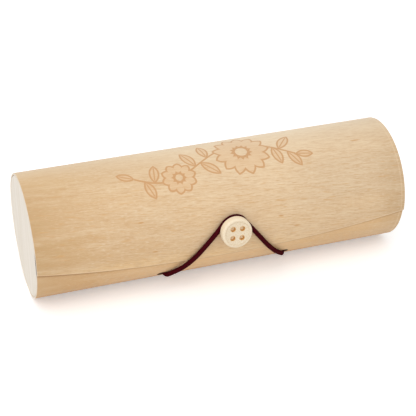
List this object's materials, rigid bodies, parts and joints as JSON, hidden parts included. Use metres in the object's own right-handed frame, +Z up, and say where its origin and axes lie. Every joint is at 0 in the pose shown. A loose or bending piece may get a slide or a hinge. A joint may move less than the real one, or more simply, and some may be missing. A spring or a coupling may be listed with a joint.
{
  "type": "round wooden crochet hook case",
  "caption": "Round lying case of thin wood veneer bent round two wooden end discs, with a flap lid held shut by a loop of elastic cord over a wooden button.",
  "frame": {"origin": "on the surface the case rests on, straight below the middle of its axis", "axes": "+X along the case to the right as seen from the front, +Y to the back, where the lid bends open, +Z up"},
  "size_m": [0.2, 0.074, 0.0652],
  "materials": {
    "disc_wood": "matte",
    "veneer": "satin",
    "button_wood": "satin",
    "elastic": "matte"
  },
  "bodies": {
    "case_body": {"end_disc_left": "disc_wood", "end_disc_right": "disc_wood", "body_sheet": "veneer", "cord_knot_left": "elastic", "cord_knot_right": "elastic"},
    "strip_1": {"lid_flex_strip_1": "veneer"},
    "strip_2": {"lid_flex_strip_2": "veneer"},
    "strip_3": {"lid_flex_strip_3": "veneer"},
    "strip_4": {"lid_flex_strip_4": "veneer"},
    "lid": {"lid_flap": "veneer", "button_spacer": "button_wood", "button": "button_wood"},
    "closure_loop": {"elastic_cord": "elastic"}
  },
  "joints": [
    {"name": "lid_bend_1", "type": "hinge", "parent": "case_body", "child": "strip_1", "pos_m": [0, 0.03149, 0.04069], "axis": [-1, 0, 0], "range_deg": [0, 17]},
    {"name": "lid_bend_2", "type": "hinge", "parent": "strip_1", "child": "strip_2", "pos_m": [0, 0.02874, 0.04766], "axis": [-1, 0, 0], "range_deg": [0, 17]},
    {"name": "lid_bend_3", "type": "hinge", "parent": "strip_2", "child": "strip_3", "pos_m": [0, 0.0245, 0.05384], "axis": [-1, 0, 0], "range_deg": [0, 17]},
    {"name": "lid_bend_4", "type": "hinge", "parent": "strip_3", "child": "strip_4", "pos_m": [0, 0.01897, 0.0589], "axis": [-1, 0, 0], "range_deg": [0, 17]},
    {"name": "lid_bend_5", "type": "hinge", "parent": "strip_4", "child": "lid", "pos_m": [0, 0.01245, 0.0626], "axis": [-1, 0, 0], "range_deg": [0, 17]},
    {"name": "loop_release", "type": "hinge", "parent": "case_body", "child": "closure_loop", "pos_m": [0, -0.02382, 0.00941], "axis": [1, 0, 0], "range_deg": [0, 80], "deforming": ["elastic_cord"]}
  ],
  "couplings": [
    {"joint": "lid_bend_2", "follows": "lid_bend_1", "ratio": 1},
    {"joint": "lid_bend_3", "follows": "lid_bend_1", "ratio": 1},
    {"joint": "lid_bend_4", "follows": "lid_bend_1", "ratio": 1},
    {"joint": "lid_bend_5", "follows": "lid_bend_1", "ratio": 1}
  ]
}
